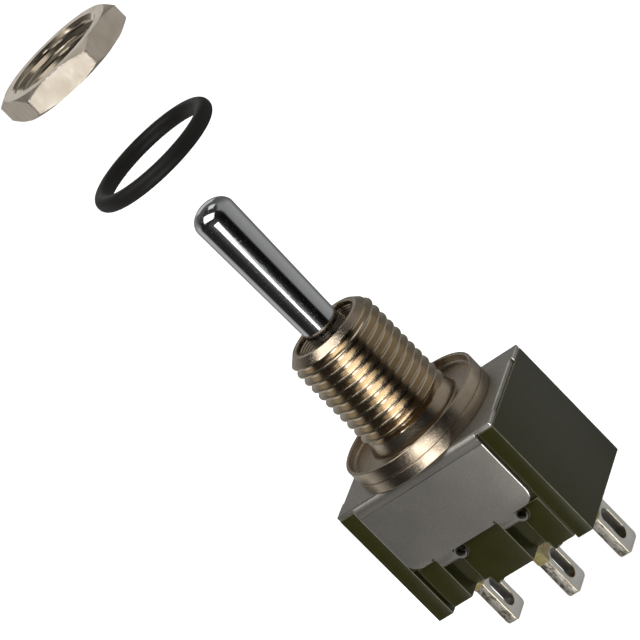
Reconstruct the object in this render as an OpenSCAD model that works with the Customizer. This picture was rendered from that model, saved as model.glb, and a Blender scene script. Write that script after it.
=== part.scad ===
// Miniature three-position panel toggle switch with a threaded bushing,
// three solder-lug terminals, a panel seal and a mounting nut.
// The panel seat (top of the seal cup's rim) is z = 0 and the bushing axis is Z.
// The terminal row runs along X.

/* [Case] */
// Length of the case along the terminal row
case_l = 12.8; // [12.4:0.1:14]
// Width of the case across the terminal row
case_w = 8.2; // [8.1:0.1:8.6]
// Height of the case below the frame's top plate
case_h = 9.1; // [8.9:0.1:9.6]
// Thickness of the end walls
end_wall = 1.2; // [1:0.05:1.3]
// Width of a crimp channel in the long sides
channel_w = 1.5; // [1.4:0.05:1.7]
// Depth of a crimp channel
channel_d = 1; // [0.9:0.05:1.1]

/* [Frame] */
// Sheet thickness of the folded frame
sheet_t = 0.3; // [0.25:0.05:0.35]
// Height of the frame's skirts below the case's top face
skirt_h = 5.4; // [5:0.1:5.8]
// Width of the skirts along the terminal row
skirt_w = 10.24; // [10:0.04:10.32]
// Outer bend radius
bend_r = 0.5; // [0.45:0.05:0.7]

/* [Bushing] */
// Major diameter of the bushing's thread
thread_d = 6.35; // [6.3:0.01:6.4]
// Height of the bushing's end above the panel seat
bushing_h = 7.55; // [7.4:0.05:8.4]
// Diameter of the bushing's mouth
mouth_d = 4.5; // [4.5:0.02:4.6]
// Outer diameter of the seal cup's rim
cup_d = 10.2; // [10.1:0.05:10.4]
// Inner diameter of the seal cup
cup_id = 9.72; // [9.6:0.02:9.76]

/* [Lever] */
// Diameter of the lever's rounded tip
tip_d = 2.86; // [2.6:0.02:3.1]
// Height of the lever's end above the panel seat
lever_h = 18.15; // [16.5:0.05:19.5]
// Height of the lever's rounded end
dome_h = 1.03; // [0.8:0.01:1.3]
// Diameter of the lever where it enters the bushing
neck_d = 2.46; // [2.2:0.02:2.48]
// Height of the lever's pivot above the panel seat
pivot_z = 3.25; // [3.25:0.05:3.35]
// Angle of the lever to either side
throw_deg = 12; // [10:0.5:12]

/* [Terminals] */
// Pitch of the terminal row
pitch = 4.7; // [4.65:0.05:4.75]
// Width of a terminal
term_w = 2; // [1.8:0.05:2.1]
// Thickness of a terminal
term_t = 0.76; // [0.6:0.02:0.8]
// Length of the outer terminals below the case
term_out = 4.12; // [3.6:0.01:5]
// Extra length of the middle terminal
mid_extra = 0.5; // [0:0.05:1]
// Width of the solder slot
slot_w = 1.1; // [0.9:0.05:1.2]
// Length of the solder slot
slot_l = 2.3; // [1.6:0.05:2.4]

/* [Hardware] */
// Width of the nut across its flats
nut_af = 8; // [7.9:0.05:8.2]
// Thickness of the nut
nut_t = 1.6; // [1.4:0.1:2.2]
// Height of the drawn-off nut's middle
nut_z = 30.15; // [26:0.05:34]
// Angle of the nut's corners about the axis
nut_turn = 22; // [0:1:60]
// Inside diameter of the seal ring
seal_id = 7.1; // [7:0.05:7.2]
// Section diameter of the seal ring
seal_t = 1.02; // [0.95:0.01:1.05]
// Height of the drawn-off seal's middle
seal_z = 22.45; // [21:0.05:24]

/* [Hidden] */

top_z = -1.95;                      // top face of the case, under the frame
base_z = top_z - case_h;            // lower end of the end walls
floor_z = base_z + 0.28;            // underside of the middle body
plate_z = top_z + sheet_t;          // upper face of the frame
body_x = case_l / 2 - end_wall;     // inner plane of the end walls
body_y = case_w / 2;                // long side faces below the skirts
skin_y = body_y - 0.12;             // long side faces behind the skirts
skirt_in = body_y - 0.1;            // inner face of the skirts
skirt_out = skirt_in + sheet_t;     // outer face of the skirts
skirt_z = top_z - skirt_h;          // lower edge of the skirts
chan_x = 2.57;                      // middle of a crimp channel
ear_z = skirt_z - 0.43;             // middle of the small ring at a tab's end
cav_floor = floor_z + 1;            // inner floor of the case
bore_r = mouth_d / 2;
ball_r = 2.4;                       // lever ball
seat_r = 2.45;                      // chamber that holds the ball
stem_r = 1.15;                      // stem below the ball
taper_z = 6.85;                     // lower end of the lever's taper
socket_z = 0.45;                    // closed end of the socket in the stem
stem_z = -3.75;                     // lower end of the stem
plug_r = 0.72;                      // plunger body
nose_r = 0.5;                       // plunger nose
nose_d = 9.2;                       // from pivot down to the nose's end at rest
rock_z = -7.05;                     // rocker's pivot
rock_ratio = 0.5;                   // rocker turns half as far as the lever
arm_x = 5;                          // half length of the rocker
contact_x = 4.6;                    // moving and fixed contacts
contact_gap = 0.52;                 // open gap with the rocker level
term_top = -8.27;                   // upper end of the throw terminals

// A box from its lowest and highest corners
module slab(a, b) { translate(a) cube([b[0] - a[0], b[1] - a[1], b[2] - a[2]]); }

// A YZ outline, drawn as (y, z), run along X from x0 to x1
module along_x(x0, x1) { translate([x0, 0, 0]) rotate([90, 0, 90]) linear_extrude(x1 - x0) children(); }

// An XZ outline, drawn as (x, z), run along Y from y0 to y1
module along_y(y0, y1) { translate([0, y1, 0]) rotate([90, 0, 0]) linear_extrude(y1 - y0) children(); }

// ---------------------------------------------------------------- case
function ear_x(x) = x + (x < 0 ? 1.04 : 0.96);

module channel_cut(x) {
    // Pocket behind the ring at the tab's end
    along_y(-body_y - 1, -body_y + 0.6) {
        translate([ear_x(x), ear_z]) circle(r = 0.45, $fn = 48);
        translate([ear_x(x) - 0.45, ear_z]) square([0.9, skirt_z - ear_z - 0.04]);
    }
    // Open channel whose bed slopes inwards at the bottom
    along_x(x - channel_w / 2, x + channel_w / 2)
        polygon([[-body_y - 1, skirt_z + 0.6], [-body_y + channel_d, skirt_z + 0.6],
                 [-body_y + channel_d, floor_z + 0.75], [-body_y + channel_d + 0.35, floor_z - 0.1],
                 [-body_y - 1, floor_z - 0.1]]);
}

module case() {
    color([0.20, 0.19, 0.09]) difference() {
        union() {
            for (s = [-1, 1])
                slab([s > 0 ? body_x : -case_l / 2, -body_y, base_z],
                     [s > 0 ? case_l / 2 : -body_x, body_y, top_z]);
            slab([-body_x - 0.1, -skin_y, floor_z], [body_x + 0.1, skin_y, top_z]);
            slab([-body_x - 0.1, -body_y, floor_z], [body_x + 0.1, body_y, skirt_z - 0.04]);
        }
        // grooves beside the end walls, wide at one end of each long side and fine at the other
        for (s = [-1, 1], t = [-1, 1]) let (w = s == t ? 0.33 : 0.07, d = s == t ? 0.5 : 0.09)
            slab([s > 0 ? body_x - w : -body_x, t > 0 ? body_y - d : -body_y - 1, floor_z - 1],
                 [s > 0 ? body_x : -body_x + w, t > 0 ? body_y + 1 : -body_y + d, skirt_z - 0.03]);
        // notches beside the feet, at the lower ends of the channels
        for (s = [-1, 1], n = [[-chan_x, -1.2], [chan_x, 3.62]])
            slab([s < 0 ? n[0] + channel_w / 2 - 0.02 : -n[1], s < 0 ? -body_y - 1 : body_y - 1.45, floor_z - 1],
                 [s < 0 ? n[1] : -n[0] - channel_w / 2 + 0.02, s < 0 ? -body_y + 1.45 : body_y + 1, floor_z + 0.55]);
        // crimp channels, four in all
        for (x = [-chan_x, chan_x]) { channel_cut(x); rotate([0, 0, 180]) channel_cut(x); }
        // small chamfers under the frame's bends
        for (s = [-1, 1]) along_x(-body_x, body_x)
            polygon([[s * (skin_y - 0.16), top_z + 0.01], [s * (skin_y + 0.1), top_z + 0.01], [s * (skin_y + 0.1), top_z - 0.25]]);
        // pocket for the bushing's staked lip
        translate([0, 0, top_z - 0.7]) cylinder(r = 3.62, h = 1, $fn = 64);
        // chamber: a wide part above the guide's ledge and a narrow part below
        slab([-5.4, -2.4, -3.25], [5.4, 2.4, top_z + 1]);
        slab([-5.3, -2.1, cav_floor], [5.3, 2.1, -3.15]);
        // slots for the terminals, and a well for the sealant round each
        for (i = [-1, 0, 1]) {
            slab([i * pitch - term_t / 2, -term_w / 2, floor_z - 1],
                 [i * pitch + term_t / 2, term_w / 2, cav_floor + 1]);
            slab([i * pitch - (i == 0 ? 1.2 : 0.85), -2, floor_z - 1],
                 [i * pitch + (i == 0 ? 1.2 : 0.85), 2, floor_z + 0.45]);
        }
        // the wells run out to the end walls' inner planes
        for (s = [-1, 1]) slab([s > 0 ? pitch - 0.85 : -body_x, -2, floor_z - 1],
                               [s > 0 ? body_x : -pitch + 0.85, 2, floor_z + 0.45]);
    }
    // small feet on the lower edges of the long sides
    color([0.20, 0.19, 0.09]) for (s = [-1, 1], x = [-1.2, 3.62])
        translate([s * -x, s * (body_y - 0.42), base_z + 0.12])
            cylinder(r = 0.4, h = 1.2, $fn = 24);
}

// --------------------------------------------------------------- frame
module bend_outline(y, z, r) {
    // Outline of a downward channel with rounded upper corners
    translate([-y, z - 20]) square([2 * y, 20 - r]);
    translate([-y + r, z - 20]) square([2 * y - 2 * r, 20]);
    for (s = [-1, 1]) translate([s * (y - r), z - r]) circle(r = r, $fn = 48);
}

module crimp_tab(x) {
    // Tab curled inwards into the channel
    r = 0.5;
    z = skirt_z - 0.35;
    along_x(x - 0.68, x + 0.72) {
        translate([-skirt_out, z - 0.01]) square([0.28, 0.45]);
        translate([-skirt_out + r, z]) difference() {
            circle(r = r, $fn = 48);
            circle(r = r - 0.28, $fn = 48);
            translate([-1, 0]) square([2, 1]);
            polygon([[0, 0.1], [0, 0], [1, -0.55], [1, 0.1]]);
        }
    }
    // Small ring at its end
    along_y(-skirt_out, -skirt_out + 0.28) translate([ear_x(x), ear_z]) circle(r = 0.4, $fn = 48);
}

module skirt_corner_cut(s) {
    // Rounds one lower corner of both skirts
    r = 0.9;
    along_y(-skirt_out - 1, skirt_out + 1)
        difference() {
            translate([s > 0 ? skirt_w / 2 - r : -skirt_w / 2 - 1, skirt_z - 1]) square([r + 1, r + 1]);
            translate([s * (skirt_w / 2 - r), skirt_z + r]) circle(r = r, $fn = 48);
        }
}

module relief_cuts() {
    // Narrow relief notch on one side of each tab and a relief hole on the other
    for (x = [-chan_x, chan_x]) {
        slab([x - 0.84, -body_y - 1, skirt_z - 0.1], [x - 0.7, -body_y + 1, skirt_z + 0.2]);
        along_y(-skirt_out - 1, -skirt_out + 0.4) translate([ear_x(x) + 0.07, ear_z + 0.07]) circle(r = 0.33, $fn = 48);
    }
}

module frame() {
    color([0.46, 0.45, 0.43]) difference() {
        union() {
            along_x(-skirt_w / 2, skirt_w / 2) difference() {
                intersection() {
                    bend_outline(skirt_out, plate_z, bend_r);
                    translate([-10, skirt_z]) square([20, 20]);
                }
                bend_outline(skirt_in, top_z, bend_r - sheet_t);
            }
            // top plate over the end walls, its outer edges stepped in the middle
            slab([-case_l / 2, -body_y, top_z], [case_l / 2, body_y, plate_z]);
            for (x = [-chan_x, chan_x]) { crimp_tab(x); rotate([0, 0, 180]) crimp_tab(x); }
        }
        for (s = [-1, 1]) {
            slab([s > 0 ? case_l / 2 - 0.18 : -case_l / 2 - 1, -2.7, top_z - 1],
                 [s > 0 ? case_l / 2 + 1 : -case_l / 2 + 0.18, 2.7, plate_z + 1]);
            skirt_corner_cut(s);
            // coined line below each bend
            slab([-skirt_w / 2 - 1, s > 0 ? skirt_out - 0.04 : -skirt_out - 1, top_z - 0.56],
                 [skirt_w / 2 + 1, s > 0 ? skirt_out + 1 : -skirt_out + 0.04, top_z - 0.46]);
        }
        relief_cuts();
        rotate([0, 0, 180]) relief_cuts();
        translate([0, 0, top_z - 1]) cylinder(r = 3.2, h = 3, $fn = 64);
    }
}

// ------------------------------------------------------------- bushing
module bushing() {
    tr = thread_d / 2;
    cr = cup_d / 2;
    ci = cup_id / 2;
    color([0.72, 0.68, 0.60]) rotate_extrude($fn = 96) polygon([
        [seat_r, top_z - 0.5], [3.5, top_z - 0.5], [3.5, top_z], [3.18, top_z], [3.18, plate_z],
        [cr - 0.05, plate_z], [cr, plate_z + 0.05], [cr, -0.94], [cr - 0.08, -0.92], [cr - 0.08, -0.85], [cr, -0.83],
        [cr, -0.07], [cr - 0.07, 0], [ci + 0.04, 0], [ci, -0.04], [ci, -0.42], [ci - 0.18, -0.6],
        [3.32, -0.6], [3.28, -0.36], [3.05, 0.22], [3.0, 0.35], [tr, 0.5],
        [tr, bushing_h - 0.6], [tr - 0.6, bushing_h], [bore_r + 0.06, bushing_h], [bore_r, bushing_h - 0.06],
        [bore_r, pivot_z + 0.95], [seat_r, pivot_z + 0.95]]);
}

// --------------------------------------------------------------- lever
module toggle_lever() {
    tz = lever_h - dome_h;
    nr = neck_d / 2;
    bn = pivot_z + sqrt(ball_r * ball_r - nr * nr);
    color([0.80, 0.81, 0.82]) difference() {
        union() {
            // flattened dome on a long taper
            rotate_extrude($fn = 64) polygon(concat(
                [[0, pivot_z], [nr, pivot_z], [nr, taper_z]],
                [for (i = [0:11]) [tip_d / 2 * cos(i * 7.5), tz + dome_h * sin(i * 7.5)]],
                [[0, lever_h]]));
            translate([0, 0, pivot_z]) sphere(r = ball_r, $fn = 64);
            translate([0, 0, stem_z]) cylinder(r = stem_r, h = pivot_z - stem_z, $fn = 48);
        }
        // flats that run in the guide's slot
        for (s = [-1, 1]) slab([-2, s > 0 ? 0.9 : -2, stem_z - 1], [2, s > 0 ? 2 : -0.9, -1.75]);
        // socket for the spring and plunger
        translate([0, 0, stem_z - 1]) cylinder(r = 0.75, h = 1 + socket_z - stem_z, $fn = 48);
    }
}

module lever_seal() {
    // Ring on the lever's neck, just above the ball
    color([0.06, 0.06, 0.06]) rotate_extrude($fn = 64) polygon([
        [neck_d / 2 + 0.01, 5.35], [1.5, 5.35], [1.6, 5.45], [1.6, 5.8], [1.5, 5.9], [neck_d / 2 + 0.01, 5.9]]);
}

// ----------------------------------------------------------- mechanism
module stem_guide() {
    color([0.75, 0.68, 0.50]) difference() {
        slab([-5.35, -2.36, -3.25], [5.35, 2.36, -2.7]);
        slab([-2.7, -0.95, -4], [2.7, 0.95, -2]);
    }
}

module plunger() {
    z0 = pivot_z - nose_d;
    color([0.90, 0.88, 0.80]) {
        translate([0, 0, z0 + 0.8]) cylinder(r = plug_r, h = 2.8, $fn = 48);
        translate([0, 0, z0 + nose_r]) cylinder(r = nose_r, h = 0.8 - nose_r + 0.2, $fn = 48);
        translate([0, 0, z0 + nose_r]) sphere(r = nose_r, $fn = 48);
    }
}

module plunger_spring() {
    // Coil of round wire between the plunger and the end of the socket
    wire = 0.09;
    z0 = pivot_z - nose_d + 3.6 + wire + 0.01;
    z1 = socket_z - wire - 0.01;
    turns = 7;
    n = turns * 14;
    m = 6;
    cr = 0.56;
    ring = [for (i = [0:n]) let (a = i * 360 / 14, z = z0 + (z1 - z0) * i / n)
        for (j = [0:m - 1]) let (b = j * 360 / m, r = cr + wire * cos(b))
            [r * cos(a), r * sin(a), z + wire * sin(b)]];
    faces = concat([[for (j = [0:m - 1]) j]],
                   [for (i = [0:n - 1], j = [0:m - 1]) let (k = (j + 1) % m)
                       [i * m + j, (i + 1) * m + j, (i + 1) * m + k, i * m + k]],
                   [[for (j = [m - 1:-1:0]) n * m + j]]);
    color([0.70, 0.70, 0.70]) polyhedron(ring, faces);
}

// Place of the nose's centre in the rocker's own frame, for a lever angle t
function nose_x(t) = let (d = nose_d - nose_r, x = -d * sin(t), z = pivot_z - rock_z - d * cos(t), q = rock_ratio * t)
    x * cos(q) + z * sin(q);
function nose_z(t) = let (d = nose_d - nose_r, x = -d * sin(t), z = pivot_z - rock_z - d * cos(t), q = rock_ratio * t)
    -x * sin(q) + z * cos(q);
// The cam face lies a fixed distance below that path
function cam_pt(t) = let (h = 0.2, dx = nose_x(t + h) - nose_x(t - h), dz = nose_z(t + h) - nose_z(t - h),
                          l = sqrt(dx * dx + dz * dz), s = dx < 0 ? -1 : 1, g = nose_r + 0.05)
    [nose_x(t) + g * s * dz / l, rock_z + nose_z(t) - g * s * dx / l];

module rocker() {
    tmax = throw_deg + 1;
    color([0.80, 0.60, 0.35]) difference() {
        union() {
            // arms
            slab([-arm_x, -1.2, rock_z], [arm_x, 1.2, rock_z + 0.42]);
            // cam block with its shallow valley
            along_y(-1.2, 1.2) polygon(concat(
                [for (t = [tmax:-1:-tmax]) cam_pt(t)],
                [[2.35, rock_z + 1.9], [2.75, rock_z + 1.9], [2.75, rock_z + 0.2],
                 [-2.75, rock_z + 0.2], [-2.75, rock_z + 1.9], [-2.35, rock_z + 1.9]]));
        }
        // round groove that sits on the cradle
        translate([0, 0, rock_z]) rotate([90, 0, 0]) cylinder(r = 0.53, h = 4, center = true, $fn = 48);
    }
}

module rocker_contacts() {
    color([0.85, 0.85, 0.84]) for (s = [-1, 1])
        translate([s * contact_x, 0, rock_z - 0.35]) cylinder(r = 0.5, h = 0.35, $fn = 32);
}

// ----------------------------------------------------------- terminals
module blade(z0, z1) {
    // Flat lug with clipped, rounded lower corners and an oblong slot
    w = term_w / 2;
    r = 0.34;
    along_x(-term_t / 2, term_t / 2) difference() {
        union() {
            translate([-w, z0 + r]) square([2 * w, z1 - z0 - r]);
            translate([-w + r, z0]) square([2 * w - 2 * r, r + 0.1]);
            for (s = [-1, 1]) translate([s * (w - r), z0 + r]) circle(r = r, $fn = 32);
        }
        for (e = [0, 1]) translate([0, z0 + 0.75 + slot_w / 2 + e * (slot_l - slot_w)]) circle(r = slot_w / 2, $fn = 32);
        translate([-slot_w / 2, z0 + 0.75 + slot_w / 2]) square([slot_w, slot_l - slot_w]);
    }
}

module terminal_common() {
    color([0.78, 0.77, 0.73]) {
        blade(base_z - term_out - mid_extra, rock_z - 0.2);
        translate([0, 0, rock_z]) rotate([90, 0, 0]) cylinder(r = 0.5, h = term_w, center = true, $fn = 48);
    }
}

module terminal_throw(s) {
    color([0.78, 0.77, 0.73]) {
        translate([s * pitch, 0, 0]) blade(base_z - term_out, term_top);
        slab([s > 0 ? pitch - 1 : -pitch - 0.55, -1, term_top - 0.5], [s > 0 ? pitch + 0.55 : -pitch + 1, 1, term_top]);
    }
}
module terminal_throw_a() { terminal_throw(-1); }
module terminal_throw_b() { terminal_throw(1); }

module fixed_contact(s) {
    color([0.85, 0.85, 0.84]) translate([s * contact_x, 0, term_top])
        cylinder(r = 0.6, h = rock_z - 0.35 - contact_gap - term_top, $fn = 32);
}
module fixed_contact_a() { fixed_contact(-1); }
module fixed_contact_b() { fixed_contact(1); }

module sealant(i, drop, y0, y1) {
    // Resin poured into the well, spread over the floor from y0 to y1 and drawn down along the terminal
    x0 = i < 0 ? -body_x : i * pitch - (i == 0 ? 1.2 : 0.85);
    x1 = i > 0 ? body_x : i * pitch + (i == 0 ? 1.2 : 0.85);
    hw = i == 0 ? 0.62 : body_x - pitch - 0.04;     // keeps clear of the end walls
    color([0.66, 0.60, 0.38]) difference() {
        union() {
            slab([x0, -2, floor_z], [x1, 2, floor_z + 0.45]);
            hull() {
                slab([i * pitch - hw, y0, floor_z - 0.06], [i * pitch + hw, y1, floor_z]);
                slab([i * pitch - 0.9 * hw, -1.45, floor_z - 0.5], [i * pitch + 0.9 * hw, 1.45, floor_z - 0.4]);
                slab([i * pitch - 0.42, -1.08, floor_z - drop], [i * pitch + 0.42, 1.08, floor_z - drop + 0.05]);
            }
        }
        slab([i * pitch - term_t / 2, -term_w / 2, floor_z - 5], [i * pitch + term_t / 2, term_w / 2, floor_z + 5]);
    }
}
module sealant_a() { sealant(-1, 0.9, -1.9, 2.2); }
module sealant_b() { sealant(0, 1.25, -2.2, 2.4); }
module sealant_c() { sealant(1, 0.9, -1.7, 3.1); }

// ------------------------------------------------------------ hardware
module panel_seal() {
    color([0.10, 0.10, 0.09]) translate([0, 0, seal_z]) rotate_extrude($fn = 96)
        translate([(seal_id + seal_t) / 2, 0]) circle(r = seal_t / 2, $fn = 48);
}

module mounting_nut() {
    color([0.78, 0.74, 0.68]) translate([0, 0, nut_z - nut_t / 2]) difference() {
        intersection() {
            rotate([0, 0, nut_turn]) cylinder(r = nut_af / 2 / cos(30), h = nut_t, $fn = 6);
            rotate_extrude($fn = 96) polygon([[0, 0], [4.02, 0], [4.6, 0.3], [4.7, 0.3], [4.7, nut_t - 0.3],
                                              [4.6, nut_t - 0.3], [4.02, nut_t], [0, nut_t]]);
        }
        translate([0, 0, -1]) cylinder(r = thread_d / 2 + 0.045, h = nut_t + 2, $fn = 64);
    }
}

case();
frame();
bushing();
toggle_lever();
lever_seal();
stem_guide();
plunger();
plunger_spring();
rocker();
rocker_contacts();
terminal_common();
terminal_throw_a();
terminal_throw_b();
fixed_contact_a();
fixed_contact_b();
sealant_a();
sealant_b();
sealant_c();
panel_seal();
mounting_nut();
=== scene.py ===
import math

import bmesh
import bpy
import numpy as np
from mathutils import Matrix, Vector


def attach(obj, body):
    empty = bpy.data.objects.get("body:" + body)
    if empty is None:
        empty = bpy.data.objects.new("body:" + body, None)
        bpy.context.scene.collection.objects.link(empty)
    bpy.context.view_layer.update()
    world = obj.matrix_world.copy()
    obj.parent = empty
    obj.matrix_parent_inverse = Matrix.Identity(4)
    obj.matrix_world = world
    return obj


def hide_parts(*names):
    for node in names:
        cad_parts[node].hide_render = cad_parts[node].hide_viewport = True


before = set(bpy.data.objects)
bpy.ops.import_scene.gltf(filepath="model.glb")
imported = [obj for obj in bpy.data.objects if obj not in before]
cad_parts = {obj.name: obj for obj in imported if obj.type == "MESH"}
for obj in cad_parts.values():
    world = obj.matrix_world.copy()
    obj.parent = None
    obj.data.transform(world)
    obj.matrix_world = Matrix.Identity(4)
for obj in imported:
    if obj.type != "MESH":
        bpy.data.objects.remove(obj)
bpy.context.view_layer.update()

MM = 0.001
scene = bpy.context.scene
scene.view_settings.view_transform = "Standard"

# ------------------------------------------------------------------ camera
cam_data = bpy.data.cameras.new("photo_camera")
cam = bpy.data.objects.new("photo_camera", cam_data)
scene.collection.objects.link(cam)
CAM_LOC = Vector((133.458, -196.404, 76.833)) * MM
CAM_X = Vector((0.699114, 0.238458, -0.674075))
CAM_Y = Vector((0.469405, 0.558072, 0.684262))
CAM_Z = Vector((0.539350, -0.794792, 0.278223))
rot = Matrix((CAM_X, CAM_Y, CAM_Z)).transposed().to_4x4()
cam.matrix_world = Matrix.Translation(CAM_LOC) @ rot
cam_data.sensor_width = 36.0
cam_data.lens = 232.306
cam_data.clip_start = 0.01
cam_data.clip_end = 20.0
scene.camera = cam


# --------------------------------------------------------- node-tree helpers
def new_mat(name):
    m = bpy.data.materials.new(name)
    m.use_nodes = True
    m.node_tree.nodes.clear()
    return m


class Tree:
    """Small helper that adds nodes to a material and links them."""

    def __init__(self, m):
        self.t = m.node_tree
        self.coord = self.add("ShaderNodeTexCoord")
        self.mm = self.add("ShaderNodeMapping")          # object space, in millimetres
        self.mm.inputs["Scale"].default_value = (1000, 1000, 1000)
        self.link(self.coord.outputs["Object"], self.mm.inputs["Vector"])

    def add(self, kind, **values):
        n = self.t.nodes.new(kind)
        for k, v in values.items():
            setattr(n, k, v)
        return n

    def link(self, a, b):
        self.t.links.new(a, b)

    def scaled(self, s, rot=(0, 0, 0)):
        n = self.add("ShaderNodeMapping")
        n.inputs["Scale"].default_value = s if hasattr(s, "__len__") else (s, s, s)
        n.inputs["Rotation"].default_value = rot
        self.link(self.mm.outputs["Vector"], n.inputs["Vector"])
        return n.outputs["Vector"]

    def noise(self, scale, detail=4.0, rough=0.55, stretch=None, rot=(0, 0, 0), distortion=0.0):
        n = self.add("ShaderNodeTexNoise")
        n.inputs["Scale"].default_value = scale
        n.inputs["Detail"].default_value = detail
        n.inputs["Roughness"].default_value = rough
        n.inputs["Distortion"].default_value = distortion
        self.link(self.scaled(stretch or 1.0, rot), n.inputs["Vector"])
        return n.outputs["Fac"]

    def voronoi(self, scale, feature="F1", randomness=1.0, stretch=None):
        n = self.add("ShaderNodeTexVoronoi", feature=feature)
        n.inputs["Scale"].default_value = scale
        n.inputs["Randomness"].default_value = randomness
        self.link(self.scaled(stretch or 1.0), n.inputs["Vector"])
        return n.outputs["Distance"]

    def span(self, fac, a, b, c, d):
        n = self.add("ShaderNodeMapRange")
        for k, v in zip(("From Min", "From Max", "To Min", "To Max"), (a, b, c, d)):
            n.inputs[k].default_value = v
        self.link(fac, n.inputs["Value"])
        return n.outputs["Result"]

    def math(self, op, a, b=None, clamp=False):
        n = self.add("ShaderNodeMath", operation=op, use_clamp=clamp)
        for i, v in enumerate((a, b)):
            if v is None:
                continue
            if isinstance(v, (int, float)):
                n.inputs[i].default_value = v
            else:
                self.link(v, n.inputs[i])
        return n.outputs["Value"]

    def mix(self, fac, a, b, blend="MIX"):
        n = self.add("ShaderNodeMix", data_type="RGBA", blend_type=blend)
        for sock, v in ((n.inputs[0], fac), (n.inputs[6], a), (n.inputs[7], b)):
            if isinstance(v, (int, float)):
                sock.default_value = v
            elif hasattr(v, "__len__"):
                sock.default_value = (*v, 1)
            else:
                self.link(v, sock)
        return n.outputs[2]

    def bump(self, height, strength, distance, normal=None):
        n = self.add("ShaderNodeBump")
        n.inputs["Strength"].default_value = strength
        n.inputs["Distance"].default_value = distance
        self.link(height, n.inputs["Height"])
        if normal is not None:
            self.link(normal, n.inputs["Normal"])
        return n.outputs["Normal"]

    def xyz(self):
        n = self.add("ShaderNodeSeparateXYZ")
        self.link(self.mm.outputs["Vector"], n.inputs["Vector"])
        return n.outputs["X"], n.outputs["Y"], n.outputs["Z"]

    def facing(self):
        """The surface normal's X, Y and Z."""
        g = self.add("ShaderNodeNewGeometry")
        n = self.add("ShaderNodeSeparateXYZ")
        self.link(g.outputs["Normal"], n.inputs["Vector"])
        return n.outputs["X"], n.outputs["Y"], n.outputs["Z"]

    def shader(self, color, metallic, rough, normal=None, **plain):
        b = self.add("ShaderNodeBsdfPrincipled")
        for sock, v in ((b.inputs["Base Color"], color), (b.inputs["Roughness"], rough), (b.inputs["Metallic"], metallic)):
            if isinstance(v, (int, float)):
                sock.default_value = v
            elif hasattr(v, "__len__"):
                sock.default_value = (*v, 1)
            else:
                self.link(v, sock)
        for k, v in plain.items():
            b.inputs[k.replace("_", " ")].default_value = v
        if normal is not None:
            self.link(normal, b.inputs["Normal"])
        out = self.add("ShaderNodeOutputMaterial")
        self.link(b.outputs["BSDF"], out.inputs["Surface"])
        return b


# ----------------------------------------------------------------- materials
def nickel(name, base=(0.51, 0.43, 0.33), dark=(0.43, 0.35, 0.255), rough=(0.18, 0.28), grain=1.0):
    m = new_mat(name)
    t = Tree(m)
    big = t.noise(0.9, 3)
    fine = t.noise(5.5, 4, 0.6)
    grit = t.noise(15.0, 3, 0.6)
    lathe = t.noise(2.0, 4, 0.6, stretch=(0.6, 0.6, 15.0))        # turning lines run round the axis
    col = t.mix(t.span(big, 0.35, 0.7, 0.0, 1.0), base, dark)
    r = t.span(t.math("ADD", t.math("MULTIPLY", fine, 0.6), t.math("MULTIPLY", big, 0.4)), 0.3, 0.7, rough[0], rough[1])
    n = t.bump(lathe, 0.5 * grain, 1.0e-5)
    n = t.bump(fine, 0.22 * grain, 2.2e-5, n)
    n = t.bump(grit, 0.9 * grain, 0.7e-5, n)
    t.shader(col, 1.0, r, n)
    return m


def chrome():
    m = new_mat("chrome_plate")
    t = Tree(m)
    streak = t.noise(5.0, 5, 0.65, stretch=(3.2, 3.2, 0.22))      # polishing lines run along the lever
    fine = t.noise(13.0, 4, 0.6)
    big = t.noise(0.7, 2)
    col = t.mix(t.span(big, 0.3, 0.7, 0.0, 1.0), (0.58, 0.585, 0.595), (0.54, 0.545, 0.555))
    pits = t.span(t.noise(11.0, 3, 0.6), 0.62, 0.70, 0.0, 0.22)
    r = t.math("ADD", t.span(streak, 0.35, 0.68, 0.07, 0.14), pits)
    n = t.bump(streak, 0.03, 0.3e-5)
    n = t.bump(fine, 0.06, 0.25e-5, n)
    t.shader(col, 1.0, r, n)
    return m


def steel(name="frame_sheet", base=(0.475, 0.449, 0.411), dark=(0.413, 0.393, 0.355), rough=(0.46, 0.58)):
    m = new_mat(name)
    t = Tree(m)
    grain = t.noise(6.5, 6, 0.8)
    cloud = t.noise(0.45, 3)
    rolled = t.noise(3.0, 4, 0.6, stretch=(0.35, 4.0, 4.0))
    col = t.mix(t.span(cloud, 0.35, 0.68, 0.0, 1.0), base, dark)
    col = t.mix(t.span(grain, 0.38, 0.62, 0.0, 0.55), col, tuple(c * 0.60 for c in base))
    r = t.span(grain, 0.3, 0.7, *rough)
    n = t.bump(grain, 0.5, 0.9e-5)
    n = t.bump(rolled, 0.2, 1.0e-5, n)
    t.shader(col, 1.0, r, n)
    return m


def olive(name="olive_moulding", base=(0.0325, 0.0308, 0.0040), dark=(0.027, 0.0256, 0.0032), rough=(0.30, 0.42), spec=0.52):
    m = new_mat(name)
    t = Tree(m)
    skin = t.noise(16.0, 5, 0.65)
    cloud = t.noise(0.8, 4)
    speck = t.noise(9.0, 4, 0.7)
    col = t.mix(t.span(cloud, 0.3, 0.7, 0.0, 1.0), base, dark)
    col = t.mix(t.span(speck, 0.45, 0.62, 0.0, 0.45), col, tuple(c * 1.45 for c in base))
    r = t.span(skin, 0.3, 0.7, *rough)
    n = t.bump(skin, 0.30, 0.7e-5)
    t.shader(col, 0.0, r, n, Specular_IOR_Level=spec)
    return m


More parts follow.
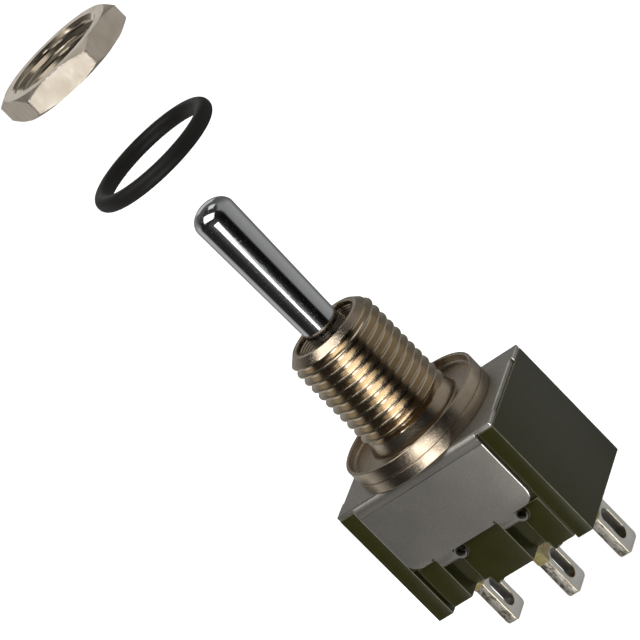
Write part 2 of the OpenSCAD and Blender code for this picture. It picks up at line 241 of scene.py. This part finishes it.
def lug_metal():
    m = new_mat("lug_plate")
    t = Tree(m)
    cloud = t.noise(1.1, 4, 0.6)
    fine = t.noise(18.0, 5, 0.6)
    pit = t.noise(3.6, 5, 0.62, stretch=(1.0, 1.0, 0.6))
    nx, ny, nz = t.facing()
    x, y, z = t.xyz()
    # the sheared faces look along Y and down, the rolled faces along X
    sheared = t.span(t.math("ABSOLUTE", nx), 0.60, 0.30, 0.0, 1.0)
    outer = t.math("MAXIMUM", t.span(t.math("ABSOLUTE", y), 0.80, 0.90, 0.0, 1.0), t.span(z, -15.05, -15.15, 0.0, 1.0))
    col = t.mix(t.span(cloud, 0.35, 0.7, 0.0, 1.0), (0.87, 0.855, 0.815), (0.77, 0.75, 0.70))
    shear_col = t.mix(t.span(pit, 0.40, 0.52, 0.0, 1.0), (0.25, 0.21, 0.16), (0.66, 0.62, 0.55))
    # painted shade: the walls inside the slot get a darker grey than the outer sheared faces, for the shade inside the
    # hole
    slot_painted_shade_col = t.mix(t.span(cloud, 0.35, 0.7, 0.0, 1.0), (0.42, 0.40, 0.37), (0.30, 0.28, 0.25))
    col = t.mix(sheared, col, t.mix(outer, slot_painted_shade_col, shear_col))
    r = t.math("ADD", t.span(fine, 0.3, 0.7, 0.34, 0.46), t.math("MULTIPLY", sheared, 0.10))
    n = t.bump(t.math("MULTIPLY", pit, t.math("MULTIPLY", sheared, outer)), 0.9, 5.0e-5)
    n = t.bump(fine, 0.25, 0.6e-5, n)
    t.shader(col, 1.0, r, n)
    return m


def lug_edge_highlight():
    m = new_mat("lug_edge_highlight")
    t = Tree(m)
    cloud = t.noise(2.2, 4, 0.6)
    fine = t.noise(16.0, 4, 0.6)
    # painted highlight: the broken edges take a paler gold than the lug's faces, standing for the bright line along
    # them
    col = t.mix(t.span(cloud, 0.35, 0.65, 0.0, 1.0), (0.96, 0.88, 0.70), (0.88, 0.76, 0.52))
    t.shader(col, 1.0, t.span(fine, 0.3, 0.7, 0.28, 0.42), t.bump(fine, 0.3, 0.8e-5))
    return m


def rubber(name, base=(0.0135, 0.0130, 0.0105)):
    m = new_mat(name)
    t = Tree(m)
    skin = t.noise(11.0, 5, 0.6)
    cloud = t.noise(0.8, 3)
    col = t.mix(t.span(cloud, 0.3, 0.7, 0.0, 1.0), base, tuple(c * 1.4 for c in base))
    r = t.span(skin, 0.3, 0.7, 0.44, 0.60)
    n = t.bump(skin, 0.35, 1.2e-5)
    t.shader(col, 0.0, r, n, Specular_IOR_Level=0.20)
    return m


def resin():
    m = new_mat("cast_resin")
    t = Tree(m)
    cloud = t.noise(1.6, 4, 0.6)
    skin = t.noise(5.0, 4, 0.6)
    col = t.mix(t.span(cloud, 0.32, 0.7, 0.0, 1.0), (0.55, 0.455, 0.215), (0.40, 0.315, 0.12))
    r = t.span(skin, 0.3, 0.7, 0.20, 0.36)
    n = t.bump(skin, 0.35, 2.0e-5)
    t.shader(col, 0.0, r, n, Subsurface_Weight=0.25, Subsurface_Scale=0.0006, Specular_IOR_Level=0.5)
    return m


def simple_metal(name, a, b, rough=(0.2, 0.35), scale=8.0):
    m = new_mat(name)
    t = Tree(m)
    cloud = t.noise(1.4, 4)
    fine = t.noise(scale * 2, 5, 0.6)
    col = t.mix(t.span(cloud, 0.3, 0.7, 0.0, 1.0), a, b)
    t.shader(col, 1.0, t.span(fine, 0.3, 0.7, *rough), t.bump(fine, 0.3, 1.0e-5))
    return m


def laminate():
    m = new_mat("tan_laminate")
    t = Tree(m)
    fibre = t.noise(9.0, 5, 0.6, stretch=(0.25, 2.0, 6.0))
    cloud = t.noise(1.0, 3)
    col = t.mix(t.span(fibre, 0.3, 0.7, 0.0, 1.0), (0.42, 0.29, 0.14), (0.30, 0.19, 0.08))
    t.shader(col, 0.0, t.span(cloud, 0.3, 0.7, 0.42, 0.60), t.bump(fibre, 0.35, 1.2e-5))
    return m


def natural_resin():
    m = new_mat("natural_moulding")
    t = Tree(m)
    cloud = t.noise(1.2, 3)
    fine = t.noise(14.0, 4)
    col = t.mix(t.span(cloud, 0.3, 0.7, 0.0, 1.0), (0.74, 0.71, 0.62), (0.66, 0.62, 0.52))
    t.shader(col, 0.0, t.span(fine, 0.3, 0.7, 0.30, 0.45), t.bump(fine, 0.2, 0.8e-5), Subsurface_Weight=0.1, Subsurface_Scale=0.0005)
    return m


M_NICKEL = nickel("bushing_nickel")
M_THREAD = nickel("thread_nickel", base=(0.61, 0.51, 0.38), dark=(0.54, 0.445, 0.32), rough=(0.13, 0.20), grain=0.08)
M_NUT = nickel("nut_nickel", base=(0.76, 0.68, 0.575), dark=(0.66, 0.57, 0.46), rough=(0.30, 0.44), grain=0.8)
M_CHROME = chrome()
M_STEEL = steel()
# painted highlight: a much paler, glossier copy of the sheet steel on the frame's broken edges, standing for the bright
# lines along its rims
M_STEEL_EDGE_HIGHLIGHT = steel("frame_edge_highlight", (0.82, 0.785, 0.73), (0.72, 0.685, 0.63), (0.28, 0.40))
M_OLIVE = olive()
# painted highlight: a far lighter olive on the case's broken edges, standing for the light lines along them
M_OLIVE_EDGE_HIGHLIGHT = olive("olive_edge_highlight", (0.21, 0.205, 0.145), (0.13, 0.127, 0.080), (0.34, 0.46), 0.45)
M_LUG = lug_metal()
M_LUG_EDGE_HIGHLIGHT = lug_edge_highlight()
M_RUBBER = rubber("seal_rubber")
M_RESIN = resin()
M_SILVER = simple_metal("contact_silver", (0.82, 0.81, 0.78), (0.70, 0.68, 0.64))
M_BRASS = simple_metal("rocker_alloy", (0.72, 0.50, 0.26), (0.62, 0.40, 0.20))
M_WIRE = simple_metal("spring_wire", (0.60, 0.60, 0.60), (0.48, 0.47, 0.46))
M_LAMINATE = laminate()
M_NATURAL = natural_resin()


# ------------------------------------------------------------ mesh building
def finish_mesh(obj, mats, body, node, sharp=32.0, pick=None):
    """Sets materials, merges doubles, marks sharp edges and hands the piece to its body. pick(face) gives a face's material index."""
    me = obj.data
    bm = bmesh.new()
    bm.from_mesh(me)
    for m in (mats if isinstance(mats, (list, tuple)) else [mats]):
        me.materials.append(m)
    bmesh.ops.remove_doubles(bm, verts=bm.verts, dist=2e-7)
    bmesh.ops.dissolve_degenerate(bm, dist=1e-8, edges=bm.edges)
    bmesh.ops.recalc_face_normals(bm, faces=bm.faces)
    if bm.calc_volume(signed=True) < 0:
        bmesh.ops.reverse_faces(bm, faces=bm.faces)
    lim = math.radians(sharp)
    for f in bm.faces:
        f.smooth = True
        if pick:
            f.material_index = pick(f)
    for e in bm.edges:
        e.smooth = not (len(e.link_faces) == 2 and e.calc_face_angle(0.0) > lim)
    bm.to_mesh(me)
    bm.free()
    if obj.name not in scene.collection.objects:
        scene.collection.objects.link(obj)
    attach(obj, body)
    if node:
        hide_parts(*([node] if isinstance(node, str) else node))
    return obj


def ring_faces(m, n, start=0, closed=False):
    faces = []
    pairs = [(i, i + 1) for i in range(m - 1)] + ([(m - 1, 0)] if closed else [])
    for i, k in pairs:
        for j in range(n):
            jj = (j + 1) % n
            faces.append((start + i * n + j, start + i * n + jj, start + k * n + jj, start + k * n + j))
    return faces


def ring_points(rings, n):
    """Each ring is (r, z) in millimetres, or a function of the angles that gives (r, z) arrays."""
    a = np.arange(n) * 2 * math.pi / n
    ca, sa = np.cos(a), np.sin(a)
    co = []
    for g in rings:
        r, z = g(a) if callable(g) else g
        r = np.broadcast_to(np.asarray(r, float), (n,))
        z = np.broadcast_to(np.asarray(z, float), (n,))
        co.append(np.stack([r * ca, r * sa, z], -1))
    return np.array(co) * MM


def lathe(name, rings, n=192, closed=True, extra=None):
    """A solid of revolution about Z. closed joins the last ring to the first; otherwise both ends lie on the axis.
    extra gives more vertices and faces, such as a thread, which take the place of the join."""
    co = ring_points(rings, n)
    m = len(rings)
    verts = co.reshape(-1, 3).tolist()
    faces = ring_faces(m, n, 0, closed and extra is None)
    if not closed:
        for i, first in ((0, True), (m - 1, False)):
            c = len(verts)
            verts.append([0, 0, float(co[i][:, 2].mean())])
            for j in range(n):
                jj = (j + 1) % n
                faces.append((c, i * n + jj, i * n + j) if first else (c, i * n + j, i * n + jj))
    if extra is not None:
        base = len(verts)
        verts += extra[0]
        faces += [tuple(base + k for k in f) for f in extra[1]]
    me = bpy.data.meshes.new(name)
    me.from_pydata(verts, [], faces)
    me.update()
    return bpy.data.objects.new(name, me)


def arc(cx, cz, r, a0, a1, n=5):
    """Points of an arc in the (r, z) plane, angles in degrees."""
    return [(cx + r * math.cos(math.radians(a0 + (a1 - a0) * i / n)), cz + r * math.sin(math.radians(a0 + (a1 - a0) * i / n))) for i in range(n + 1)]


def helical(n, z0, z1, profile, limit, r0, r1, phase=0.0):
    """A right-handed screw surface between the rings (r0, z0) and (r1, z1). profile lists (dz, r) over one pitch,
    with dz measured from a crest's middle, and limit(r, z) trims the radius at the ends."""
    k = len(profile)
    first = math.floor((z0 - phase) / PITCH) - 2
    last = math.ceil((z1 - phase) / PITCH) + 2
    a = np.arange(n) * 2 * math.pi / n
    rows = []
    for turn in range(first, last):
        for dz, r in profile:
            z = phase + turn * PITCH + dz + PITCH * a / (2 * math.pi)
            rr = limit(np.full_like(z, r), z)
            rr = np.where(z <= z0, r0, np.where(z >= z1, r1, rr))
            z = np.clip(z, z0, z1)
            rows.append(np.stack([rr * np.cos(a), rr * np.sin(a), z], -1))
    co = np.array(rows) * MM
    zz = co[:, :, 2] / MM
    inside = (zz > z0 + 1e-9) & (zz < z1 - 1e-9)
    faces = []
    total = len(rows)
    for r in range(total - 1):
        for i in range(n):
            if i < n - 1:
                q = ((r, i), (r, i + 1), (r + 1, i + 1), (r + 1, i))
            else:
                if r + 1 + k >= total:
                    continue
                q = ((r, i), (r + k, 0), (r + 1 + k, 0), (r + 1, i))
            low = sum(zz[x] <= z0 + 1e-9 for x in q)
            high = sum(zz[x] >= z1 - 1e-9 for x in q)
            if low == 4 or high == 4:
                continue
            faces.append(tuple(x[0] * n + x[1] for x in q))
    used = sorted({v for f in faces for v in f})
    index = {v: i for i, v in enumerate(used)}
    flat = co.reshape(-1, 3)
    return [flat[v].tolist() for v in used], [tuple(index[v] for v in f) for f in faces]


def refined(name, node, width, mats, body, angle=24.0, segments=2, sharp=30.0, leave=None):
    """The CAD node's own shape with its sharp edges broken, as a new mesh. A second material, painted lighter as a
    highlight, goes on the broken edges.
    leave(x, y, z) is true where the width doesn't fit."""
    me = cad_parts[node].data.copy()
    me.name = name
    bm = bmesh.new()
    bm.from_mesh(me)
    bmesh.ops.remove_doubles(bm, verts=bm.verts, dist=2e-7)
    bmesh.ops.dissolve_limit(bm, angle_limit=math.radians(0.4), verts=bm.verts, edges=bm.edges)
    lim = math.radians(angle)

    for f in bm.faces:
        f.material_index = 0

    def goes_on(e, v, fset):
        """True where another sharp edge carries on smoothly past that end, as along a curve."""
        d = (e.other_vert(v).co - v.co).normalized()
        return any(g is not e and g in fset and (g.other_vert(v).co - v.co).normalized().dot(d) < -0.82 for g in v.link_edges)

    def clear(e, w, fset, spare):
        """True where both faces beside the edge leave room for its broken corner."""
        length = e.calc_length()
        if spare and any(spare(*(e.verts[0].co.lerp(e.verts[1].co, k / 6) / MM)) for k in range(7)):
            return False
        if length < 2.4 * w:
            return all(goes_on(e, v, fset) for v in e.verts)
        d = (e.verts[1].co - e.verts[0].co).normalized()
        inset = min(0.45, 2.2 * w / length)
        pts = [e.verts[0].co.lerp(e.verts[1].co, k) for k in (inset, 0.5, 1.0 - inset)]
        for f in e.link_faces:
            for g in f.edges:
                if g is e or set(g.verts) & set(e.verts):
                    continue
                a, b = g.verts[0].co, g.verts[1].co
                if abs((b - a).normalized().dot(d)) < 0.5:
                    continue
                for q in pts:
                    c = a + (b - a) * max(0.0, min(1.0, (q - a).dot(b - a) / max((b - a).length_squared, 1e-18)))
                    if (c - q).length < 1.9 * w:
                        return False
        return True

    w = width * MM
    found = [e for e in bm.edges if len(e.link_faces) == 2 and e.calc_face_angle(0.0) > lim and e.is_convex]
    fset = set(found)
    edges = [e for e in found if clear(e, w, fset, leave)]
    if width > 0:
        res = bmesh.ops.bevel(bm, geom=edges, offset=w, offset_type="OFFSET", segments=segments, profile=0.5,
                              affect="EDGES", clamp_overlap=False, miter_outer="ARC")
        # the broken edges take the second material: a lighter colour painted on as their highlight
        if isinstance(mats, (list, tuple)) and len(mats) > 1:
            for f in res["faces"]:
                f.material_index = 1
    bmesh.ops.remove_doubles(bm, verts=bm.verts, dist=1e-8)
    bmesh.ops.triangulate(bm, faces=[f for f in bm.faces if len(f.verts) > 4])
    for att in [a.name for a in me.attributes if a.name.startswith("custom_normal")]:
        me.attributes.remove(me.attributes[att])
    clean = bpy.data.meshes.new(name)
    bm.to_mesh(clean)
    bm.free()
    bpy.data.meshes.remove(me)
    obj = bpy.data.objects.new(name, clean)
    return finish_mesh(obj, mats, body, node, sharp)


# --------------------------------------------------------------- dimensions
PITCH = 0.635
TR = 3.175                 # thread crest radius
ROOT = TR - 0.385
BUSH_H = 7.55
PHASE = -0.288             # a crest's height at angle 0
TRAVEL = 28.15             # how far the nut stands off


def vee(crest, root, flip=False):
    """One pitch of a 60 degree thread from a crest's middle: narrow crest with rounded corners, straight flanks, narrow root."""
    deep, rr = abs(crest - root), 0.030
    half = [(0.016, 0.0)]
    half += [(0.016 + rr * math.sin(math.radians(t)), rr * (1 - math.cos(math.radians(t))) / deep) for t in (15, 29, 43, 57)]
    z1, d1 = half[-1]
    half += [(z1 + (0.268 - z1) * k / 4, d1 + (1.0 - d1) * k / 4) for k in range(1, 5)]
    pts = [(z, crest + (root - crest) * d) for z, d in half]
    pts += [(PITCH / 2, root)]
    pts += [(PITCH - z, r) for z, r in reversed(pts[:-1])]
    return pts


# ------------------------------------------------------------------ bushing
def build_bushing():
    n = 216
    rings = []
    # under the thread, outside in: neck, collar, cup, flange, staked lip, then up the inside to the mouth
    z_low, r_low = 0.30, 3.0
    z_top, r_top = 7.545, 2.565
    rings += [(r_low, z_low), (3.03, 0.24), (3.05, 0.19)]
    rings += [(3.05 + 0.235 * i / 4, 0.19 - 0.56 * i / 4) for i in range(1, 5)]
    rings += [(3.30, -0.45)] + arc(3.40, -0.50, 0.10, 180, 270, 6) + [(4.0, -0.6), (4.60, -0.6)]
    rings += arc(4.66, -0.40, 0.20, -90, 0, 7) + [(4.86, -0.06)]
    rings += arc(4.92, -0.06, 0.06, 180, 90, 6) + arc(5.027, -0.07, 0.07, 90, 0, 6)
    rings += [(5.097, -0.40), (5.097, -0.805), (5.082, -0.828), (5.02, -0.845), (5.015, -0.885), (5.02, -0.925), (5.082, -0.942), (5.097, -0.965)]
    rings += [(5.097, -1.30), (5.097, -1.59)] + arc(5.047, -1.60, 0.05, 0, -90, 6)
    rings += [(3.18, -1.65), (3.18, -1.95), (3.5, -1.95), (3.5, -2.41), (3.45, -2.45), (2.45, -2.45)]
    rings += [(2.45, 0.0), (2.45, 4.17), (2.43, 4.2), (2.25, 4.2), (2.25, 4.3)]
    z, k = 4.4, 0
    while z < 7.36:                                    # turned rings in the mouth
        rings.append((2.295 if k % 2 else 2.25, z))
        z += 0.08
        k += 1
    rings += [(2.25, 7.42), (2.262, 7.49), (2.30, 7.535), (2.34, 7.55)]
    rings += [(2.53, 7.55), (r_top, z_top)]

    def limit(r, z):
        top = r_top + (z_top - z) * 1.03                # chamfer at the end
        low = r_low - np.maximum(0.0, z - z_low - 0.02) * 1.2      # run-out above the neck
        cap = r_low + np.maximum(0.0, z - z_low) * 1.6
        lip = 2.96 - np.maximum(0.0, 7.16 - z) * 1.73              # the chamfer runs unbroken to its lip
        return np.minimum(np.minimum(np.maximum(np.maximum(r, low), lip), top), cap)
    extra = helical(n, z_low, z_top, vee(TR, ROOT), limit, r_low, r_top, PHASE)
    return lathe("bushing_turned", rings, n, True, extra)


def thread_zone(f):
    c = f.calc_center_median() / MM
    r = math.hypot(c.x, c.y)
    return 1 if 0.28 < c.z < 7.15 and r > 2.5 else 0


finish_mesh(build_bushing(), [M_NICKEL, M_THREAD], "body", "bushing", sharp=19.5, pick=thread_zone)


# -------------------------------------------------------------------- lever
def build_lever():
    rings = []
    tip_r, tip_z, dome = 1.43, 17.12, 1.03
    for i in range(1, 29):                              # rounded tip, from the top
        t = math.radians(90 - i * 90 / 28)
        rings.append((tip_r * math.cos(t), tip_z + dome * math.sin(t)))
    for i in range(1, 41):                              # long taper
        z = tip_z - (tip_z - 6.85) * i / 40
        rings.append((tip_r + (1.23 - tip_r) * i / 40, z))
    bn = 3.25 + math.sqrt(2.4 ** 2 - 1.23 ** 2)
    rings += [(1.23, 6.1), (1.23, bn + 0.06)]
    a0, a1 = math.asin((bn - 3.25) / 2.4), -math.acos(1.15 / 2.4)
    for i in range(25):
        t = a0 + (a1 - a0) * i / 24
        rings.append((2.4 * math.cos(t), 3.25 + 2.4 * math.sin(t)))
    rings += [(1.15, -1.70)]

    def flat(z):
        def ring(a):
            r = np.minimum(1.15, 0.9 / np.maximum(np.abs(np.sin(a)), 1e-6))
            return r, np.full_like(a, z)
        return ring
    rings += [flat(-1.75), flat(-3.70)]
    rings += [(0.85, -3.75), (0.75, -3.70), (0.75, 0.40), (0.70, 0.45)]
    return lathe("lever_turned", rings, 144, closed=False)


finish_mesh(build_lever(), M_CHROME, "lever", "toggle_lever", sharp=38)


# --------------------------------------------------------------------- nut
def build_nut():
    af, t, zc, turn = 8.0, 1.6, 30.15, math.radians(22)
    zb, zt = zc - t / 2, zc + t / 2

    def hex_r(a):
        p = np.mod(a - turn, math.pi / 3) - math.pi / 6
        r = af / 2 / np.cos(p)
        return np.minimum(r, 4.60 - 0.35 * np.maximum(0, np.abs(p) - 0.50))

    def outer(z, cone):
        def ring(a):
            return np.minimum(hex_r(a), cone), np.full_like(a, z)
        return ring
    n = 360
    rings = [(3.30, zt), (3.6, zt), (3.98, zt)]
    # top face, chamfer, flats, chamfer, bottom face
    for i in range(0, 13):
        d = 0.36 * i / 12
        rings.append(outer(zt - d, 4.00 + d * 1.75))
    for i in range(1, 8):
        rings.append(outer(zt - 0.36 - (t - 0.66) * i / 8, 4.7))
    for i in range(12, -1, -1):
        d = 0.30 * i / 12
        rings.append(outer(zb + d, 4.05 + d * 2.0))
    rings += [(4.0, zb), (3.6, zb), (3.30, zb)]

    def limit(r, z):
        edge = np.minimum(z - zb, zt - z)
        return np.maximum(r, 3.30 - edge * 1.2)
    extra = helical(n, zb, zt, vee(2.87, 3.215), limit, 3.30, 3.30, PHASE + TRAVEL + PITCH / 2)
    return lathe("nut_turned", rings, n, True, extra)


def nut_zone(f):
    c = f.calc_center_median() / MM
    return 1 if math.hypot(c.x, c.y) < 3.32 else 0


hexnut = finish_mesh(build_nut(), [M_NUT, M_THREAD], "nut", "mounting_nut", sharp=19.5, pick=nut_zone)


# -------------------------------------------------------------- panel seal
def build_seal():
    big, r, zc = 4.06, 0.51, 22.45
    pts = []
    n = 40
    for i in range(n):
        t = 2 * math.pi * i / n
        rr = r
        if i in (0, n // 2):                              # fine parting line at the inner and outer edge
            rr = r - 0.002
        if i in (1, n - 1, n // 2 - 1, n // 2 + 1):
            rr = r - 0.006
        pts.append((big + rr * math.cos(t), zc + rr * math.sin(t)))
    return lathe("seal_ring", pts, 192)


ring = finish_mesh(build_seal(), M_RUBBER, "seal", "panel_seal", sharp=60)
for loose in (hexnut, ring):                            # drawn off above the lever, so they stay out of its tip's reflection
    loose.visible_glossy = False

# ------------------------------------------------------ case, frame and lugs
refined("case_moulded", "case", 0.045, [M_OLIVE, M_OLIVE_EDGE_HIGHLIGHT], "body")


def at_tab(x, y, z):
    """The crimped tabs and their rings keep the CAD shape's own corners."""
    u = x if y < 0 else -x
    return (z < -7.2 and abs(y) < 3.7) or (z < -6.95 and any(t - 1.0 < u < t + 1.65 for t in (-1.2, 3.62)))


refined("frame_folded", "frame", 0.085, [M_STEEL, M_STEEL_EDGE_HIGHLIGHT], "body", segments=3, leave=at_tab)
for n in ("terminal_common", "terminal_throw_a", "terminal_throw_b"):
    refined(n.replace("terminal", "lug"), n, 0.05, [M_LUG, M_LUG_EDGE_HIGHLIGHT], "body", segments=3)


# ---------------------------------------------------------------- sealant
for n in ("sealant_a", "sealant_b", "sealant_c"):
    refined(n + "_poured", n, 0.05 if n == "sealant_b" else 0.0, M_RESIN, "body", angle=12, segments=3, sharp=40)

def resin_film(name, x0, top, low, slot_top, seed):
    """The thin skin with an uneven lower edge that the resin leaves on the root of a lug."""
    hx, hy, thick = 0.38, 1.0, 0.035
    walk = []
    for (ax, ay), (bx, by), turn in (((hx, -hy), (hx, hy), 0), ((hx, hy), (-hx, hy), 90), ((-hx, hy), (-hx, -hy), 180), ((-hx, -hy), (hx, -hy), 270)):
        t = math.radians(turn)
        walk += [(ax + (bx - ax) * k / 12, ay + (by - ay) * k / 12, math.cos(t), math.sin(t)) for k in range(13)]
        t = math.radians(turn + 45)
        walk.append((bx, by, math.cos(t), math.sin(t)))
    rows = [[], [], [], [], [], []]
    for px, py, nx, ny in walk:
        t = math.atan2(py / hy, px / hx)
        z = low + 0.085 * math.sin(2 * t + seed) + 0.045 * math.sin(5 * t + 2.1 * seed)
        if abs(nx) > 0.9 and abs(py) < 0.66:            # stops short of the slot
            z = max(z, slot_top + 0.05)
        ix, iy = max(0.06 - hx, min(hx - 0.06, px)), max(0.06 - hy, min(hy - 0.06, py))
        for row, (o, h) in zip(rows, ((None, top), (thick, top), (thick, z + 0.10), (0.74 * thick, z + 0.03), (0.12 * thick, z), (None, z))):
            row.append((x0 + (ix if o is None else px + nx * o), iy if o is None else py + ny * o, h))
    n = len(walk)
    verts = [tuple(c * MM for c in v) for row in rows for v in row]
    me = bpy.data.meshes.new(name)
    me.from_pydata(verts, [], ring_faces(len(rows), n, 0, True))
    me.update()
    return finish_mesh(bpy.data.objects.new(name, me), M_RESIN, "body", None, sharp=60)


resin_film("film_common", 0.0, -11.95, -12.72, -12.62, 1.2)
resin_film("film_throw_a", -4.7, -11.58, -11.93, -12.12, 2.7)
resin_film("film_throw_b", 4.7, -11.58, -11.98, -12.12, 0.4)

# ------------------------------------------------------- other CAD nodes
for node, mat in (("lever_seal", M_RUBBER), ("stem_guide", M_LAMINATE), ("plunger", M_NATURAL), ("plunger_spring", M_WIRE),
                  ("rocker", M_BRASS), ("rocker_contacts", M_SILVER), ("fixed_contact_a", M_SILVER), ("fixed_contact_b", M_SILVER)):
    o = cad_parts[node]
    o.data.materials.clear()
    o.data.materials.append(mat)


# ------------------------------------------------------------------- stage
def build_floor():
    """A pale sweep: a flat disc whose rim curves up into a wall."""
    prof = [(0.0, 0.0), (60, 0), (250, 0), (800, 0), (1600, 0)]
    for i in range(1, 13):
        t = math.radians(90 * i / 12)
        prof.append((1600 + 900 * math.sin(t), 900 - 900 * math.cos(t)))
    prof += [(2500, 1500), (2500, 3000)]
    rings = [(max(r, 0.5), z - 16.1) for r, z in prof]
    n = 96
    a = np.arange(n) * 2 * math.pi / n
    co = [[(r * math.cos(x), r * math.sin(x), z) for x in a] for r, z in rings]
    verts = [tuple(c * MM for c in p) for ring in co for p in ring]
    faces = ring_faces(len(rings), n)
    faces.append(tuple(range(n)))
    me = bpy.data.meshes.new("pale_floor")
    me.from_pydata(verts, [], faces)
    bm = bmesh.new()
    bm.from_mesh(me)
    bmesh.ops.recalc_face_normals(bm, faces=bm.faces)
    for f in bm.faces:
        f.smooth = True
    bm.to_mesh(me)
    bm.free()
    o = bpy.data.objects.new("pale_floor", me)
    scene.collection.objects.link(o)
    m = bpy.data.materials.new("pale_floor")
    m.use_nodes = True
    nt = m.node_tree
    nt.nodes.clear()
    dif = nt.nodes.new("ShaderNodeBsdfDiffuse")
    dif.inputs["Color"].default_value = (0.85, 0.85, 0.85, 1)
    em = nt.nodes.new("ShaderNodeEmission")
    em.inputs["Color"].default_value = (1, 1, 1, 1)
    em.inputs["Strength"].default_value = 0.88
    add = nt.nodes.new("ShaderNodeAddShader")
    out = nt.nodes.new("ShaderNodeOutputMaterial")
    nt.links.new(dif.outputs[0], add.inputs[0])
    nt.links.new(em.outputs[0], add.inputs[1])
    nt.links.new(add.outputs[0], out.inputs["Surface"])
    me.materials.append(m)
    o.visible_glossy = False
    o.visible_diffuse = False
    o.visible_shadow = False
    o.visible_transmission = False


build_floor()

# ------------------------------------------------------------------- world
# A plain studio round the object: black cards towards the front, grey to the sides and back, dark overhead.
world = bpy.data.worlds.new("studio")
scene.world = world
world.use_nodes = True
wt = world.node_tree
wt.nodes.clear()


def wadd(kind, **v):
    n = wt.nodes.new(kind)
    for k, x in v.items():
        setattr(n, k, x)
    return n


wc = wadd("ShaderNodeTexCoord")
ws = wadd("ShaderNodeSeparateXYZ")
wt.links.new(wc.outputs["Generated"], ws.inputs["Vector"])
waz = wadd("ShaderNodeMath", operation="ARCTAN2")
wt.links.new(ws.outputs["Y"], waz.inputs[0])
wt.links.new(ws.outputs["X"], waz.inputs[1])
wm = wadd("ShaderNodeMapRange")
wm.inputs["From Min"].default_value = -math.pi
wm.inputs["From Max"].default_value = math.pi
wt.links.new(waz.outputs[0], wm.inputs["Value"])


def around(stops):
    """A colour ramp over the azimuth, from -180 to 180 degrees."""
    r = wadd("ShaderNodeValToRGB")
    els = r.color_ramp.elements
    while len(els) < len(stops):
        els.new(0.5)
    for e, (az, c) in zip(els, stops):
        e.position = (az + 180) / 360
        e.color = (c, c, c * 0.985, 1)
    wt.links.new(wm.outputs["Result"], r.inputs["Fac"])
    return r.outputs["Color"]


def height(z0, z1, a, b):
    r = wadd("ShaderNodeMapRange")
    for k, v in zip(("From Min", "From Max", "To Min", "To Max"), (math.sin(math.radians(z0)), math.sin(math.radians(z1)), a, b)):
        r.inputs[k].default_value = v
    wt.links.new(ws.outputs["Z"], r.inputs["Value"])
    return r.outputs["Result"]


def blend(fac, a, b):
    n = wadd("ShaderNodeMix", data_type="RGBA")
    wt.links.new(fac, n.inputs[0])
    for sock, v in ((n.inputs[6], a), (n.inputs[7], b)):
        if isinstance(v, tuple):
            sock.default_value = (*v, 1)
        else:
            wt.links.new(v, sock)
    return n.outputs[2]


level = around([(-180, 0.63), (-172, 0.63), (-163, 0.44), (-158, 0.16), (-153, 0.026), (-118, 0.027), (-107, 0.06), (-97, 0.10),
                (-62, 0.075), (-55, 0.045), (-46, 0.015), (-36, 0.006), (-16, 0.005), (-10, 0.04), (-4, 0.31), (6, 0.35), (18, 0.385),
                (31, 0.42), (45, 0.44), (62, 0.44), (76, 0.26), (96, 0.15), (115, 0.24), (135, 0.31), (150, 0.33), (161, 0.36), (170, 0.50), (179.9, 0.63)])
above = around([(-180, 0.085), (-158, 0.03), (-152, 0.02), (-16, 0.02), (-10, 0.04), (-4, 0.27), (6, 0.33), (20, 0.37), (50, 0.36),
                (62, 0.28), (76, 0.18), (96, 0.13), (140, 0.13), (160, 0.12), (179.9, 0.085)])
sky = blend(height(10, 34, 0.0, 1.0), level, above)
sky = blend(height(54, 66, 0.0, 1.0), sky, (0.05, 0.05, 0.052))
sky = blend(height(-32, -18, 0.30, 0.0), sky, (0.0, 0.0, 0.0))
wb = wadd("ShaderNodeBackground")
wt.links.new(sky, wb.inputs["Color"])
wb.inputs["Strength"].default_value = 1.0
wo = wadd("ShaderNodeOutputWorld")
wt.links.new(wb.outputs[0], wo.inputs["Surface"])


# ------------------------------------------------------------------ lights
def area(name, az, el, dist, w, h, radiance, color=(1, 1, 1), target=(0, 0, 4)):
    """A soft box at that azimuth and elevation about the target, facing it. Azimuth is measured from +X towards +Y,
    and radiance is the brightness of its face."""
    d = Vector((math.cos(math.radians(az)) * math.cos(math.radians(el)), math.sin(math.radians(az)) * math.cos(math.radians(el)), math.sin(math.radians(el))))
    li = bpy.data.lights.new(name, "AREA")
    li.shape = "RECTANGLE"
    li.size, li.size_y = w * MM, h * MM
    li.energy = radiance * math.pi * w * h * MM * MM
    li.color = color
    o = bpy.data.objects.new(name, li)
    scene.collection.objects.link(o)
    o.location = Vector(target) * MM + d * dist * MM
    o.rotation_mode = "QUATERNION"
    o.rotation_quaternion = d.to_track_quat("Z", "Y")
    o.visible_camera = False
    return o


area("strip_high", -79, -18.5, 420, 92, 84, 3.2)
area("strip_cup", -75, -12.3, 420, 190, 40, 3.7)
area("strip_mid", -73, -30, 420, 250, 88, 6.0)
area("strip_low", -76, -49, 420, 450, 194, 1.6)
area("box_front", -101, 61, 500, 470, 330, 3.0)
area("box_back", 94, 67, 600, 200, 200, 1.0)
# a small card that only the nut sees
area("nut_card", 124.2, 16.2, 60, 36, 26, 0.55, (1.0, 0.99, 0.975), target=(0, 0, 30.95))
